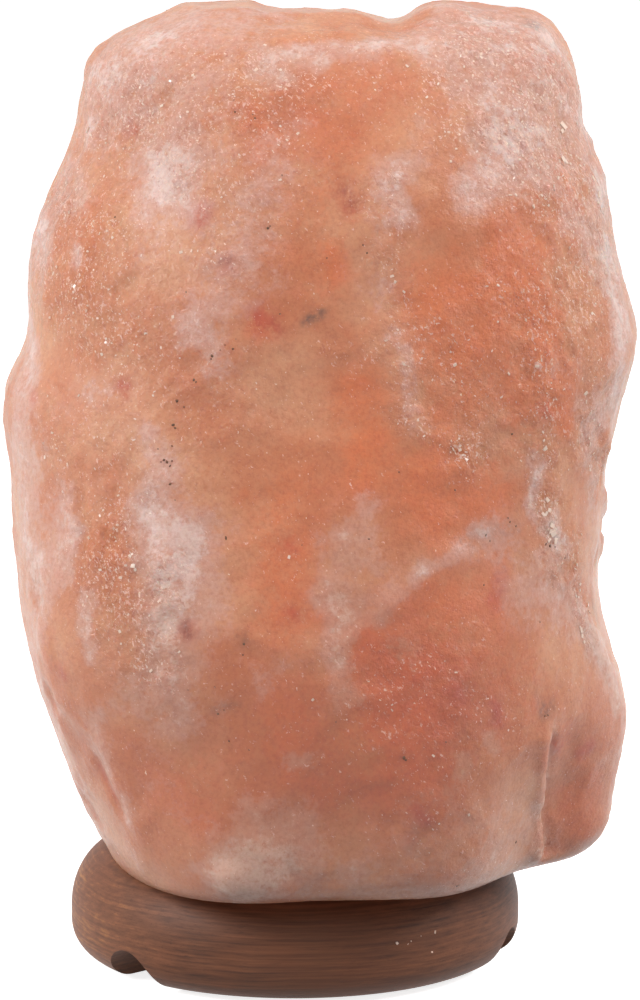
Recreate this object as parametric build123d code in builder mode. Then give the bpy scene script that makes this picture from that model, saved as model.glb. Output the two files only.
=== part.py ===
"""Salt crystal lamp: a rough block of rock salt on a turned wooden base, lit from inside by a small screw-cap bulb.
The bulb stands in a spring-clip holder that is pushed up into the drilled block from under the base."""

import os
from math import cos, exp, radians, sin, sqrt

from build123d import *

os.makedirs("parts", exist_ok=True)

# ---------------------------------------------------------------- driving dimensions, in millimetres
# Origin on the floor, under the middle of the whole lamp. The front is -Y. A bearing is in degrees, from the front
# towards +X.

# Where the drilled axis stands: the block reaches further to the right of it, and to the front, than the other way.
lamp_x = -8.5
lamp_y = 2.0

# Clearances between pieces
fit_gap = 0.1
running_gap = 0.3

# Rough salt block
crystal_height = 244.0
crystal_width = 181.0
crystal_depth = 164.0
lamp_bore = 42.0
cavity_depth = 96.0
drill_point = 9.0

# Wooden base, a turned disc with a round foot edge and a deep rounded shoulder
base_diameter = 131.0
base_height = 32.0
foot_round = 10.0
shoulder_reach = 14.0
shoulder_drop = 18.0
recess_diameter = 78.0
recess_depth = 18.0
recess_corner = 3.0

# Half-round channels gouged under the base, evenly round it. The lead leaves by the one at the back.
channel_count = 3
first_channel_bearing = -47.0
channel_width = 19.0
channel_height = 10.5

# Felt pads under the feet that the channels leave, set in from the rim
pad_diameter = 12.0
pad_thickness = 1.2
pad_inset = 19.0

# Screws through the base into plugs in the block
screw_circle = 62.0
screw_diameter = 4.0
screw_length = 40.0
screw_point = 5.0
screw_head_diameter = 8.0
screw_head_height = 2.4
screw_slot_width = 1.1
screw_slot_depth = 1.2
plug_diameter = 8.0
plug_length = 28.0
plug_slit = 1.0

# Holder: clip plate, threaded inlet and its nut, cup-shaped cap
plate_diameter = 48.0
plate_thickness = 1.2
inlet_diameter = 10.0
inlet_bore = 7.0
inlet_stand = 1.0
inlet_chamfer = 0.5
nut_across_flats = 14.0
nut_height = 3.0
cap_diameter = 27.0
cap_height = 16.0
cap_wall = 1.8
cap_floor = 2.4
cap_round = 1.5

# Holder: contact carrier, screw shell, contacts, ribbed sleeve
carrier_flange = 1.2
carrier_thickness = 6.0
shell_bore = 14.4
shell_wall = 0.4
shell_height = 14.0
contact_width = 4.0
contact_length = 11.0
contact_thickness = 0.4
contact_rise = 3.0
terminal_width = 5.0
terminal_height = 6.0
terminal_spacing = 11.0
terminal_screw_diameter = 2.5
terminal_head_diameter = 4.0
terminal_head_height = 1.2
sleeve_height = 22.0
sleeve_mouth = 17.0
sleeve_lip = 2.0
sleeve_chamfer = 1.0
groove_count = 20
groove_diameter = 1.8
groove_stop = 3.0

# Spring clips and the rivets that hold them to the plate
clip_bearings = (20.0, 140.0, 260.0)
clip_width = 8.0
clip_thickness = 0.6
clip_foot_start = 14.5
clip_heel = 19.4
clip_shoulder_height = 22.0
clip_height = 36.0
clip_tip_draw = 4.5
clip_bend = 1.2
rivet_circle = 32.8
rivet_diameter = 2.0
rivet_head_diameter = 3.6
rivet_head_height = 0.8

# Bulb
bulb_diameter = 26.0
bulb_length = 40.0
bulb_neck_diameter = 12.6
bulb_neck_depth = 3.0
glass_thickness = 0.8
bulb_cap_diameter = 13.8
bulb_cap_height = 15.0
bulb_cap_wall = 0.4
bulb_cap_flare = 0.5
bulb_cap_flare_height = 3.0
insulator_height = 3.0
tip_diameter = 5.0
tip_height = 1.6
stem_diameter = 5.0
stem_height = 18.0
stem_foot = 1.5
lead_diameter = 0.6
lead_foot_spacing = 2.4
lead_spread = 12.0
lead_rise = 9.0
filament_diameter = 0.8
filament_sag = 2.0

# ---------------------------------------------------------------- the block's rough form
# How far the block reaches to the left, right, front and back of the drilled axis at each height. Heights are in
# hundredths of the block's height, left and right of its width, front and back of its depth.
block_levels = (
    (0.0, 29.4, 45.6, 44.5, 41.0),
    (1.6, 30.8, 48.6, 47.0, 43.5),
    (4.5, 32.6, 50.4, 48.5, 45.5),
    (9.0, 35.2, 51.4, 49.5, 47.0),
    (16.4, 38.8, 53.0, 50.6, 48.0),
    (23.8, 41.8, 50.6, 51.0, 48.7),
    (32.0, 43.6, 48.4, 50.0, 48.6),
    (40.0, 44.6, 49.0, 48.0, 48.0),
    (48.4, 45.7, 50.2, 46.5, 47.2),
    (55.8, 45.6, 53.0, 45.0, 46.5),
    (60.8, 42.2, 54.3, 44.3, 45.6),
    (66.0, 41.8, 52.8, 43.0, 44.0),
    (73.0, 40.8, 50.4, 40.5, 41.5),
    (79.0, 38.0, 48.8, 38.0, 39.0),
    (85.0, 34.8, 46.2, 34.5, 36.0),
    (90.4, 33.2, 45.0, 30.0, 32.0),
    (94.5, 30.8, 43.2, 25.5, 27.0),
    (97.5, 24.4, 41.0, 20.0, 21.0),
    (99.1, 19.8, 38.2, 14.5, 15.5),
    (100.0, 15.0, 32.5, 9.0, 10.0),
)

# Hollows and humps in the block: bearing, height in hundredths of the block's height, spread in degrees, spread in
# hundredths of the height, and how far the skin is pushed out there in hundredths of the block's width.
block_lobes = (
    (54.0, 5.0, 13.0, 14.0, -7.0),
    (36.0, 10.0, 12.0, 18.0, 2.0),
    (-18.0, 4.0, 16.0, 10.0, 3.0),
    (-40.0, 30.0, 24.0, 16.0, 3.5),
    (10.0, 62.0, 26.0, 14.0, -2.5),
    (40.0, 78.0, 20.0, 12.0, 3.0),
    (-50.0, 84.0, 20.0, 8.0, -3.0),
    (128.0, 30.0, 24.0, 20.0, 3.0),
    (160.0, 55.0, 20.0, 12.0, -4.0),
    (205.0, 72.0, 22.0, 14.0, 3.5),
    (232.0, 22.0, 20.0, 18.0, -3.5),
)
block_points = 24
block_squareness = 2.35

# ---------------------------------------------------------------- levels and reaches that follow
wood_bottom = pad_thickness
wood_top = wood_bottom + base_height
cavity_top = wood_top + cavity_depth
plate_top = wood_bottom + recess_depth
plate_bottom = plate_top - plate_thickness
nut_bottom = plate_bottom - nut_height
inlet_bottom = nut_bottom - inlet_stand
cap_top = plate_top + cap_height
contact_top = cap_top + contact_rise
tip_bottom = contact_top + running_gap
insulator_bottom = tip_bottom + tip_height
bulb_cap_bottom = insulator_bottom + insulator_height
bulb_cap_top = bulb_cap_bottom + bulb_cap_height
stem_bottom = bulb_cap_top - bulb_neck_depth
stem_top = stem_bottom + stem_height
bulb_top = bulb_cap_top + bulb_length

rim = base_diameter / 2
cap_inner = cap_diameter / 2 - cap_wall
carrier_rebate = cap_diameter / 2 - cap_wall / 2
neck_radius = bulb_neck_diameter / 2
bulb_cap_radius = bulb_cap_diameter / 2
# A clip is flat across its width, so its two edges come nearest to the round bore.
clip_reach = sqrt((lamp_bore / 2 - running_gap) ** 2 - (clip_width / 2) ** 2)

lamp_axis = Axis((lamp_x, lamp_y, 0), (0, 0, 1))
STANDING = (Align.CENTER, Align.CENTER, Align.MIN)


def level(height):
    """The horizontal plane at a height, centred on the drilled axis, with its y towards the back."""
    return Plane((lamp_x, lamp_y, height))


def outward(bearing):
    """The horizontal unit vector along a bearing."""
    return Vector(sin(radians(bearing)), -cos(radians(bearing)), 0)


def upright(bearing=90.0):
    """The plane through the drilled axis whose x runs outward along a bearing and whose y runs up."""
    out = outward(bearing)
    return Plane((lamp_x, lamp_y, 0), x_dir=out, z_dir=out.cross(Vector(0, 0, 1)))


def facing(bearing, reach, height):
    """The plane that faces outward along a bearing, at a reach from the drilled axis, with its y running up."""
    out = outward(bearing)
    return Plane(Vector(lamp_x, lamp_y, height) + out * reach, x_dir=Vector(0, 0, 1).cross(out), z_dir=out)


def spots(diameter, bearings):
    """Places on a circle round the drilled axis, one at each bearing, for use on a level."""
    return [tuple(outward(bearing) * (diameter / 2))[:2] for bearing in bearings]


# A foot stands midway between each channel and the next, with a pad under it and a screw beside it.
channel_bearings = [first_channel_bearing + 360 / channel_count * index for index in range(channel_count)]
foot_bearings = [bearing + 180 / channel_count for bearing in channel_bearings]
screw_places = [level(plate_top).from_local_coords(spot) for spot in spots(screw_circle, foot_bearings)]


# ---------------------------------------------------------------- salt block
def block_outline(height, left, right, front, back):
    """Points round the block at one height, as a rounded quadrilateral with the hollows and humps added."""
    points = []
    for index in range(block_points):
        bearing = 360 * index / block_points
        out = outward(bearing)
        side = (right if out.X > 0 else left) * crystal_width
        end = (front if out.Y < 0 else back) * crystal_depth
        corner = abs(out.X / side) ** block_squareness + abs(out.Y / end) ** block_squareness
        reach = corner ** (-1 / block_squareness)
        for lobe_bearing, lobe_height, turn, rise, push in block_lobes:
            apart = (bearing - lobe_bearing + 180) % 360 - 180
            fade = exp(-((apart / turn) ** 2) - ((height - lobe_height) / rise) ** 2)
            reach += push * crystal_width * fade
        points.append(tuple(out * (reach / 100))[:2])
    return points


with BuildPart() as salt_crystal:
    for height, left, right, front, back in block_levels:
        with BuildSketch(level(wood_top + crystal_height * height / 100)):
            with BuildLine():
                Spline(*block_outline(height, left, right, front, back), periodic=True)
            make_face()
    loft()
    split(bisect_by=level(wood_top), keep=Keep.TOP)
    with BuildSketch(level(wood_top)):
        Circle(lamp_bore / 2)
    extrude(amount=cavity_depth, mode=Mode.SUBTRACT)
    with Locations(level(cavity_top)):
        Cone(lamp_bore / 2, 0, drill_point, align=STANDING, mode=Mode.SUBTRACT)
    with BuildSketch(level(wood_top)):
        with Locations(*spots(screw_circle, foot_bearings)):
            Circle(plug_diameter / 2 + fit_gap)
    extrude(amount=plug_length + running_gap, mode=Mode.SUBTRACT)
salt_crystal.part.label = "salt_crystal"
export_step(salt_crystal.part, "parts/salt_crystal.step")

# ---------------------------------------------------------------- wooden base
with BuildPart() as wood_base:
    with BuildSketch(upright()):
        with BuildLine():
            Polyline((rim - shoulder_reach, wood_top), (0, wood_top), (0, wood_bottom))
            Line((0, wood_bottom), (rim - foot_round, wood_bottom))
            CenterArc((rim - foot_round, wood_bottom + foot_round), foot_round, -90, 90)
            Line((rim, wood_bottom + foot_round), (rim, wood_top - shoulder_drop))
            EllipticalCenterArc(
                (rim - shoulder_reach, wood_top - shoulder_drop), shoulder_reach, shoulder_drop, arc_size=90
            )
        make_face()
    revolve(axis=lamp_axis)
    with BuildSketch(level(wood_bottom)):
        Circle(recess_diameter / 2)
    extrude(amount=recess_depth, mode=Mode.SUBTRACT)
    fillet(wood_base.edges().filter_by_position(Axis.Z, plate_top, plate_top), recess_corner)
    for bearing in channel_bearings:
        with BuildSketch(facing(bearing, lamp_bore / 2, wood_bottom)):
            Ellipse(channel_width / 2, channel_height)
        extrude(amount=rim, mode=Mode.SUBTRACT)
    with BuildSketch(level(plate_top)):
        Circle(lamp_bore / 2)
        with Locations(*spots(screw_circle, foot_bearings)):
            Circle(screw_diameter / 2 + fit_gap)
    extrude(amount=base_height, mode=Mode.SUBTRACT)
    with Locations(*screw_places):
        Cone(
            screw_head_diameter / 2 + fit_gap,
            screw_diameter / 2 + fit_gap,
            screw_head_height,
            align=STANDING,
            mode=Mode.SUBTRACT,
        )
wood_base.part.label = "wood_base"
export_step(wood_base.part, "parts/wood_base.step")

# ---------------------------------------------------------------- foot pads, one file each
for number, bearing in enumerate(foot_bearings, start=1):
    with BuildPart() as foot_pad:
        with BuildSketch(level(0)):
            with Locations(*spots(base_diameter - 2 * pad_inset, [bearing])):
                Circle(pad_diameter / 2)
        extrude(amount=pad_thickness)
    foot_pad.part.label = f"foot_pad_{number}"
    export_step(foot_pad.part, f"parts/foot_pad_{number}.step")

# ---------------------------------------------------------------- screws through the base into plugs in the block
with BuildPart() as base_screws:
    with Locations(*screw_places):
        Cone(screw_head_diameter / 2, screw_diameter / 2, screw_head_height, align=STANDING)
        Cylinder(screw_diameter / 2, screw_length - screw_point, align=STANDING)
    with Locations(*[place + Vector(0, 0, screw_length - screw_point) for place in screw_places]):
        Cone(screw_diameter / 2, 0, screw_point, align=STANDING)
    with Locations(*screw_places):
        Box(screw_head_diameter, screw_slot_width, screw_slot_depth, align=STANDING, mode=Mode.SUBTRACT)
base_screws.part.label = "base_screws"
export_step(base_screws.part, "parts/base_screws.step")

with BuildPart() as block_plugs:
    with BuildSketch(level(wood_top)):
        with Locations(*spots(screw_circle, foot_bearings)):
            Circle(plug_diameter / 2)
            Circle(screw_diameter / 2 + fit_gap, mode=Mode.SUBTRACT)
    extrude(amount=plug_length)
    for spot in spots(screw_circle, foot_bearings):
        with BuildSketch(level(wood_top + plug_length / 3)):
            with Locations(spot):
                Rectangle(plug_diameter * 2, plug_slit)
        extrude(amount=plug_length, mode=Mode.SUBTRACT)
block_plugs.part.label = "block_plugs"
export_step(block_plugs.part, "parts/block_plugs.step")

# ---------------------------------------------------------------- clip plate, cord inlet and lock nut
with BuildPart() as clip_plate:
    with BuildSketch(level(plate_bottom)):
        Circle(plate_diameter / 2)
        Circle(inlet_diameter / 2 + fit_gap, mode=Mode.SUBTRACT)
        with Locations(*spots(rivet_circle, clip_bearings)):
            Circle(rivet_diameter / 2 + fit_gap, mode=Mode.SUBTRACT)
    extrude(amount=plate_thickness)
clip_plate.part.label = "clip_plate"
export_step(clip_plate.part, "parts/clip_plate.step")

with BuildPart() as cord_inlet:
    with BuildSketch(level(inlet_bottom)):
        Circle(inlet_diameter / 2)
        Circle(inlet_bore / 2, mode=Mode.SUBTRACT)
    extrude(amount=plate_top + cap_floor + inlet_stand - inlet_bottom)
    bore_mouth = cord_inlet.edges().filter_by(GeomType.CIRCLE).filter_by(
        lambda edge: edge.radius < inlet_diameter / 2
    )
    chamfer(bore_mouth, inlet_chamfer)
cord_inlet.part.label = "cord_inlet"
export_step(cord_inlet.part, "parts/cord_inlet.step")

with BuildPart() as lock_nut:
    with BuildSketch(level(nut_bottom)):
        RegularPolygon(nut_across_flats / 2, 6, major_radius=False)
        Circle(inlet_diameter / 2 + fit_gap, mode=Mode.SUBTRACT)
    extrude(amount=nut_height)
lock_nut.part.label = "lock_nut"
export_step(lock_nut.part, "parts/lock_nut.step")

# ---------------------------------------------------------------- holder cap, a cup whose rim carries the contacts
with BuildPart() as holder_cap:
    with BuildSketch(level(plate_top)):
        Circle(cap_diameter / 2)
    extrude(amount=cap_height)
    fillet(holder_cap.edges().group_by(Axis.Z)[0], cap_round)
    with BuildSketch(level(plate_top + cap_floor)):
        Circle(cap_inner)
    extrude(amount=cap_height, mode=Mode.SUBTRACT)
    with BuildSketch(level(cap_top - carrier_flange)):
        Circle(carrier_rebate)
    extrude(amount=carrier_flange, mode=Mode.SUBTRACT)
    with BuildSketch(level(plate_top)):
        Circle(inlet_diameter / 2 + fit_gap)
    extrude(amount=cap_floor, mode=Mode.SUBTRACT)
holder_cap.part.label = "holder_cap"
export_step(holder_cap.part, "parts/holder_cap.step")

# ---------------------------------------------------------------- ceramic contact carrier and what stands on it
with BuildPart() as contact_carrier:
    with BuildSketch(level(cap_top)):
        Circle(carrier_rebate - fit_gap)
    extrude(amount=-carrier_flange)
    with BuildSketch(level(cap_top)):
        Circle(cap_inner - fit_gap)
    extrude(amount=-carrier_thickness)
contact_carrier.part.label = "contact_carrier"
export_step(contact_carrier.part, "parts/contact_carrier.step")

with BuildPart() as screw_shell:
    with BuildSketch(level(cap_top)):
        Circle(shell_bore / 2 + shell_wall)
        Circle(shell_bore / 2, mode=Mode.SUBTRACT)
    extrude(amount=shell_height)
screw_shell.part.label = "screw_shell"
export_step(screw_shell.part, "parts/screw_shell.step")

# A spring tongue: flat foot, sloping arm, flat contact under the end of the bulb.
with BuildPart() as centre_contact:
    with BuildSketch(upright()):
        with BuildLine():
            Polyline(
                (contact_length / 2, cap_top),
                (contact_length / 5, cap_top),
                (-contact_length / 5, contact_top - contact_thickness),
                (-contact_length / 2, contact_top - contact_thickness),
            )
            offset(amount=contact_thickness, side=Side.RIGHT)
        make_face()
    extrude(amount=contact_width / 2, both=True)
centre_contact.part.label = "centre_contact"
export_step(centre_contact.part, "parts/centre_contact.step")

# The terminals hang under the carrier, one on each side, with their screws facing outward.
terminal_bearings = (90.0, 270.0)
terminal_face = terminal_spacing / 2 + terminal_width / 2
terminal_middle = cap_top - carrier_thickness - terminal_height / 2
with BuildPart() as terminals:
    with BuildSketch(level(cap_top - carrier_thickness)):
        with Locations(*spots(terminal_spacing, terminal_bearings)):
            Rectangle(terminal_width, terminal_width)
    extrude(amount=-terminal_height)
    for bearing in terminal_bearings:
        with BuildSketch(facing(bearing, terminal_face, terminal_middle)):
            Circle(terminal_screw_diameter / 2 + fit_gap)
        extrude(amount=-terminal_width, mode=Mode.SUBTRACT)
terminals.part.label = "terminals"
export_step(terminals.part, "parts/terminals.step")

with BuildPart() as terminal_screws:
    for bearing in terminal_bearings:
        with BuildSketch(facing(bearing, terminal_face, terminal_middle)):
            Circle(terminal_screw_diameter / 2)
        extrude(amount=-terminal_width * 2 / 3)
        with BuildSketch(facing(bearing, terminal_face, terminal_middle)):
            Circle(terminal_head_diameter / 2)
        extrude(amount=terminal_head_height)
terminal_screws.part.label = "terminal_screws"
export_step(terminal_screws.part, "parts/terminal_screws.step")

# ---------------------------------------------------------------- ribbed sleeve that closes the holder
with BuildPart() as holder_sleeve:
    with BuildSketch(level(cap_top)):
        Circle(cap_diameter / 2)
    extrude(amount=sleeve_height)
    with BuildSketch(level(cap_top)):
        Circle(cap_inner)
    extrude(amount=sleeve_height - sleeve_lip, mode=Mode.SUBTRACT)
    with BuildSketch(level(cap_top)):
        Circle(sleeve_mouth / 2)
    extrude(amount=sleeve_height, mode=Mode.SUBTRACT)
    chamfer(holder_sleeve.edges().group_by(Axis.Z)[-1].sort_by(SortBy.RADIUS)[-1], sleeve_chamfer)
    with BuildSketch(level(cap_top + groove_stop)):
        with PolarLocations(cap_diameter / 2, groove_count):
            Circle(groove_diameter / 2)
    extrude(amount=sleeve_height - 2 * groove_stop, mode=Mode.SUBTRACT)
holder_sleeve.part.label = "holder_sleeve"
export_step(holder_sleeve.part, "parts/holder_sleeve.step")

# ---------------------------------------------------------------- spring clips, one file each, and their rivets
for number, bearing in enumerate(clip_bearings, start=1):
    with BuildPart() as spring_clip:
        with BuildSketch(upright(bearing)):
            with BuildLine():
                FilletPolyline(
                    (clip_foot_start, plate_top),
                    (clip_heel, plate_top),
                    (clip_reach, plate_top + clip_shoulder_height),
                    (clip_reach - clip_tip_draw, plate_top + clip_height),
                    radius=clip_bend,
                )
                offset(amount=clip_thickness, side=Side.LEFT)
            make_face()
        extrude(amount=clip_width / 2, both=True)
        with BuildSketch(level(plate_top)):
            with Locations(*spots(rivet_circle, [bearing])):
                Circle(rivet_diameter / 2 + fit_gap)
        extrude(amount=clip_thickness, mode=Mode.SUBTRACT)
    spring_clip.part.label = f"spring_clip_{number}"
    export_step(spring_clip.part, f"parts/spring_clip_{number}.step")

with BuildPart() as clip_rivets:
    with BuildSketch(level(plate_bottom)):
        with Locations(*spots(rivet_circle, clip_bearings)):
            Circle(rivet_diameter / 2)
    extrude(amount=plate_thickness + clip_thickness)
    with BuildSketch(level(plate_top + clip_thickness)):
        with Locations(*spots(rivet_circle, clip_bearings)):
            Circle(rivet_head_diameter / 2)
    extrude(amount=rivet_head_height)
    with BuildSketch(level(plate_bottom)):
        with Locations(*spots(rivet_circle, clip_bearings)):
            Circle(rivet_head_diameter / 2)
    extrude(amount=-rivet_head_height)
clip_rivets.part.label = "clip_rivets"
export_step(clip_rivets.part, "parts/clip_rivets.step")

# ---------------------------------------------------------------- bulb
def glass_profile(inset):
    """Half outline of the glass, open neck down and round end up, set in from the outer skin."""
    radius = bulb_diameter / 2
    dome = bulb_top - radius
    Line((neck_radius - inset, stem_bottom), (neck_radius - inset, bulb_cap_top))
    Spline((neck_radius - inset, bulb_cap_top), (radius - inset, dome), tangents=((0, 1), (0, 1)))
    CenterArc((0, dome), radius - inset, 0, 90)
    Polyline((0, bulb_top - inset), (0, stem_bottom), (neck_radius - inset, stem_bottom))


with BuildPart() as bulb_glass:
    with BuildSketch(upright()):
        with BuildLine():
            glass_profile(0)
        make_face()
    revolve(axis=lamp_axis)
    with BuildSketch(upright()):
        with BuildLine():
            glass_profile(glass_thickness)
        make_face()
    revolve(axis=lamp_axis, mode=Mode.SUBTRACT)
bulb_glass.part.label = "bulb_glass"
export_step(bulb_glass.part, "parts/bulb_glass.step")

with BuildPart() as bulb_cap:
    with BuildSketch(upright()):
        with BuildLine():
            Polyline(
                (bulb_cap_radius, bulb_cap_bottom),
                (bulb_cap_radius, bulb_cap_top - bulb_cap_flare_height),
                (bulb_cap_radius + bulb_cap_flare, bulb_cap_top),
                (bulb_cap_radius + bulb_cap_flare - bulb_cap_wall, bulb_cap_top),
                (bulb_cap_radius - bulb_cap_wall, bulb_cap_top - bulb_cap_flare_height),
                (bulb_cap_radius - bulb_cap_wall, bulb_cap_bottom),
                close=True,
            )
        make_face()
    revolve(axis=lamp_axis)
bulb_cap.part.label = "bulb_cap"
export_step(bulb_cap.part, "parts/bulb_cap.step")

with BuildPart() as bulb_insulator:
    with Locations(level(insulator_bottom)):
        Cone(tip_diameter / 2, bulb_cap_radius, insulator_height, align=STANDING)
bulb_insulator.part.label = "bulb_insulator"
export_step(bulb_insulator.part, "parts/bulb_insulator.step")

with BuildPart() as bulb_end_contact:
    with BuildSketch(level(tip_bottom)):
        Circle(tip_diameter / 2)
    extrude(amount=tip_height)
    fillet(bulb_end_contact.edges().group_by(Axis.Z)[0], tip_height / 2)
bulb_end_contact.part.label = "bulb_end_contact"
export_step(bulb_end_contact.part, "parts/bulb_end_contact.step")

with BuildPart() as glass_stem:
    with BuildSketch(level(stem_bottom)):
        Circle(neck_radius - glass_thickness - fit_gap)
    extrude(amount=stem_foot)
    with BuildSketch(level(stem_bottom)):
        Circle(stem_diameter / 2)
    extrude(amount=stem_height)
glass_stem.part.label = "glass_stem"
export_step(glass_stem.part, "parts/glass_stem.step")

with BuildPart() as lead_wires:
    for side in (-1, 1):
        with BuildSketch(level(stem_top)):
            with Locations((side * lead_foot_spacing / 2, 0)):
                Circle(lead_diameter / 2)
        with BuildSketch(level(stem_top + lead_rise)):
            with Locations((side * lead_spread / 2, 0)):
                Circle(lead_diameter / 2)
        loft()
lead_wires.part.label = "lead_wires"
export_step(lead_wires.part, "parts/lead_wires.step")

filament_middle = stem_top + lead_rise + filament_diameter / 2 + fit_gap
with BuildPart() as filament:
    with BuildLine():
        wire = ThreePointArc(
            (lamp_x - lead_spread / 2, lamp_y, filament_middle),
            (lamp_x, lamp_y, filament_middle + filament_sag),
            (lamp_x + lead_spread / 2, lamp_y, filament_middle),
        )
    with BuildSketch(Plane(origin=wire @ 0, z_dir=wire % 0)):
        Circle(filament_diameter / 2)
    sweep()
filament.part.label = "filament"
export_step(filament.part, "parts/filament.step")
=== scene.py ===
from math import cos, pi, radians, sin

import bmesh
import bpy
import numpy as np
from mathutils import Matrix, Vector
from mathutils.bvhtree import BVHTree
from mathutils.kdtree import KDTree


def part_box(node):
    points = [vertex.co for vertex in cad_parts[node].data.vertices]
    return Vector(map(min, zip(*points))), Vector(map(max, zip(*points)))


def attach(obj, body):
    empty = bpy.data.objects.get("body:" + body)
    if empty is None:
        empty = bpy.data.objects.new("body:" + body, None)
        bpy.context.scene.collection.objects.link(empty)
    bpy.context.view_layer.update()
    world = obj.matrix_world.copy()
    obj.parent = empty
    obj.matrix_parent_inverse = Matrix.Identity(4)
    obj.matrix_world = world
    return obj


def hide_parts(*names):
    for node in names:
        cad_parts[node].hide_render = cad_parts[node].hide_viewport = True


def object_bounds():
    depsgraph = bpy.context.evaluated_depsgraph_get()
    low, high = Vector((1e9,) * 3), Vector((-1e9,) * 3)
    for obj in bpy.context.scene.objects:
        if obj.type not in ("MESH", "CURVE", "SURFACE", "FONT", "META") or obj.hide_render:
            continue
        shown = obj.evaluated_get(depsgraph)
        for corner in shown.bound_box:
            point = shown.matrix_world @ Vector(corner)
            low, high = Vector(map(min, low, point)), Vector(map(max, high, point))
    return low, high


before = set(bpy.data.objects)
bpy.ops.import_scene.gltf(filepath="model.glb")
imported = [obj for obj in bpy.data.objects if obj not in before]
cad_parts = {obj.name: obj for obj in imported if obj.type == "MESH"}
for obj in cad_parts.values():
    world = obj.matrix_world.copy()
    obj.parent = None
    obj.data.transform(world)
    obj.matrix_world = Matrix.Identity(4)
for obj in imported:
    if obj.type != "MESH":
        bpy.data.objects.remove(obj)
cad_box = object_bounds()
MM = 0.001

# ------------------------ places that follow from the frame
glass_low, glass_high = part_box("bulb_glass")
axis_x = (glass_low.x + glass_high.x) / 2
axis_y = (glass_low.y + glass_high.y) / 2
seat_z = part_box("wood_base")[1].z
crown_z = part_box("salt_crystal")[1].z
box_low, box_high = np.array(cad_box[0]), np.array(cad_box[1])


def shown(thing):
    """Puts an object into the scene."""
    bpy.context.scene.collection.objects.link(thing)
    return thing


# ------------------------ camera
# The lamp fills the picture, seen from a little above and 1.2 m away with a long lens.
camera_pitch = radians(8.67)
camera_distance = 1.2
camera_lens = 149.3
camera_sensor = 36.0
aim_right = 7.32 * MM
aim_height = 134.02 * MM
photo_width, photo_height = 640, 1000

aim = Vector((axis_x + aim_right, axis_y, aim_height))
sight = Vector((0, cos(camera_pitch), -sin(camera_pitch)))
rise = Vector((0, sin(camera_pitch), cos(camera_pitch)))
camera_data = bpy.data.cameras.new("camera")
camera_data.lens = camera_lens
camera_data.sensor_width = camera_sensor
camera_data.clip_start = 0.05
camera = shown(bpy.data.objects.new("camera", camera_data))
camera.location = aim - sight * camera_distance
camera.rotation_euler = (pi / 2 - camera_pitch, 0, 0)
bpy.context.scene.camera = camera
bpy.context.scene.view_settings.view_transform = "Standard"


def line_of_sight(px, py):
    """Direction from the camera through a pixel of the photograph's 640 x 1000 frame."""
    focus = camera_lens / camera_sensor * photo_height
    across = Vector((1, 0, 0)) * (px - photo_width / 2)
    return (sight * focus + across - rise * (py - photo_height / 2)).normalized()


# ------------------------ helpers for shapes
def smooth(low, high, value):
    """0 below low, 1 above high and an even curve between."""
    t = np.clip((value - low) / (high - low), 0, 1)
    return t * t * (3 - 2 * t)


def lattice(points, seed):
    """Smooth noise from about -1 to 1 on a lattice of unit cells, which the large numbers scramble."""
    base = np.floor(points).astype(np.int64)
    part = points - base
    fade = part ** 3 * (part * (part * 6 - 15) + 10)
    total = np.zeros(len(points))
    for corner in range(8):
        step = np.array([corner & 1, corner >> 1 & 1, corner >> 2 & 1])
        cell = base + step
        mix = cell[:, 0] * 73856093 ^ cell[:, 1] * 19349663 ^ cell[:, 2] * 83492791 ^ seed * 2654435761
        mix = (mix ^ mix >> 13) * 1274126177 & 0xFFFFFFFF
        turn = (mix & 1023) / 1023 * 2 * pi
        up = (mix >> 10 & 1023) / 1023 * 2 - 1
        flat = np.sqrt(1 - up * up)
        slope = np.stack([flat * np.cos(turn), flat * np.sin(turn), up], 1)
        weight = np.prod(np.where(step == 1, fade, 1 - fade), axis=1)
        total += weight * ((part - step) * slope).sum(1)
    return total * 1.6


def noise(points, size, seed, layers=1):
    """Layered noise whose largest lumps are about as many metres across as size says."""
    total, share = np.zeros(len(points)), 1.0
    for layer in range(layers):
        total += share * lattice(points / size * 2 ** layer, seed + layer)
        share *= 0.5
    return total


def shaken(points, far, size, seeds, layers=1):
    """Points moved by noise, about as far as far says, so that what they mark gets a ragged edge."""
    return points + far * np.stack([noise(points, size, seed, layers) for seed in seeds], 1)


def scallops(points, spacing, seed):
    """Dents that meet in ridges, from 0 in a dent's middle to 1 on a ridge, as broken salt has."""
    rng = np.random.default_rng(seed)
    low, high = points.min(0) - spacing, points.max(0) + spacing
    counts = np.ceil((high - low) / spacing).astype(int)
    grid = np.stack(np.meshgrid(*[np.arange(n) for n in counts], indexing="ij"), -1).reshape(-1, 3)
    middles = low + (grid + rng.random(grid.shape)) * spacing
    tree = KDTree(len(middles))
    for index, middle in enumerate(middles):
        tree.insert(middle, index)
    tree.balance()
    near = np.array([[found[2] for found in tree.find_n(point, 2)] for point in points])
    return np.clip(near[:, 0] / near[:, 1], 0, 1) ** 1.5


def vectors(items, name):
    """One vector of each vertex as an array."""
    values = np.zeros(len(items) * 3, np.float32)
    items.foreach_get(name, values)
    return values.reshape(-1, 3).astype(float)


def piece(name, mesh, body, slot, *nodes, smoothed=True):
    """Makes a mesh a piece of the lamp, which rides on a body and may stand for CAD nodes."""
    made = shown(bpy.data.objects.new(name, mesh))
    if smoothed:
        mesh.shade_smooth()
    else:
        mesh.shade_flat()
    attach(made, body)
    if nodes:
        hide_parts(*nodes)
    return made


def finished_mesh(source):
    """The mesh that an object ends up with. The object itself goes."""
    shown(source)
    mesh = bpy.data.meshes.new_from_object(source.evaluated_get(bpy.context.evaluated_depsgraph_get()))
    bpy.data.objects.remove(source)
    return mesh


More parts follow.
